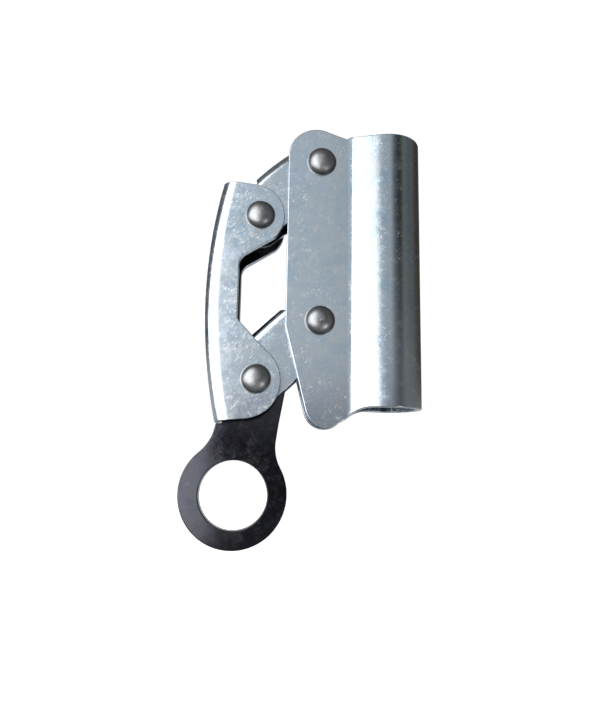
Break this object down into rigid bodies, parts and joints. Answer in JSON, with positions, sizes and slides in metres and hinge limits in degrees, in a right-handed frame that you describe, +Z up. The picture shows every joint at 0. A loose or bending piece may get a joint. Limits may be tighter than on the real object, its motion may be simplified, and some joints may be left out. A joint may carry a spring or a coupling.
{
  "type": "rope grab",
  "caption": "Rope grab: a folded sleeve round the rope, toothed jaws on parallel arms, a channel handle and a hanging eye plate.",
  "frame": {"origin": "on the rope's axis, at mid-height of the sleeve's tube", "axes": "+Z up the rope, +X from the handle to the sleeve's back, +Y across the plates"},
  "size_m": [0.0891, 0.025, 0.1593],
  "materials": {
    "plate_steel": "zinc plated, satin, worn",
    "rivet_steel": "satin",
    "dark_steel": "polished, dark",
    "jaw_steel": "hardened, matt",
    "bush_bronze": "satin",
    "bright_steel": "bright"
  },
  "bodies": {
    "sleeve": {"sleeve": "plate_steel", "sleeve_rivet_upper": "rivet_steel", "sleeve_rivet_lower": "rivet_steel", "sleeve_bush_upper": "bush_bronze", "sleeve_bush_lower": "bush_bronze"},
    "upper_arm": {"upper_arm": "plate_steel", "upper_jaw": "jaw_steel", "upper_jaw_pin": "bright_steel"},
    "lower_arm": {"lower_arm": "plate_steel", "lower_jaw": "jaw_steel", "lower_jaw_pin": "bright_steel"},
    "handle": {"handle": "plate_steel", "handle_rivet_upper": "rivet_steel", "handle_rivet_lower": "rivet_steel", "handle_bush_upper": "bush_bronze", "handle_bush_lower": "bush_bronze", "eye_washer_front": "bright_steel", "eye_washer_back": "bright_steel", "torsion_spring": "bright_steel"},
    "eye_plate": {"eye_plate": "dark_steel"}
  },
  "joints": [
    {"name": "upper_arm_swing", "type": "hinge", "parent": "sleeve", "child": "upper_arm", "pos_m": [-0.0265, 0, 0.04175], "axis": [0, 1, 0], "range_deg": [0, 55]},
    {"name": "lower_arm_swing", "type": "hinge", "parent": "sleeve", "child": "lower_arm", "pos_m": [-0.0265, 0, -0.02075], "axis": [0, 1, 0], "range_deg": [0, 55]},
    {"name": "handle_pivot", "type": "hinge", "parent": "upper_arm", "child": "handle", "pos_m": [-0.04952, 0, 0.01952], "axis": [0, 1, 0], "range_deg": [-55, 0], "deforming": ["torsion_spring"]},
    {"name": "eye_swing", "type": "hinge", "parent": "handle", "child": "eye_plate", "pos_m": [-0.04952, 0, -0.04298], "axis": [0, -1, 0], "range_deg": [0, 30]}
  ],
  "couplings": [
    {"joint": "lower_arm_swing", "follows": "upper_arm_swing", "ratio": 1},
    {"joint": "handle_pivot", "follows": "upper_arm_swing", "ratio": -1}
  ]
}
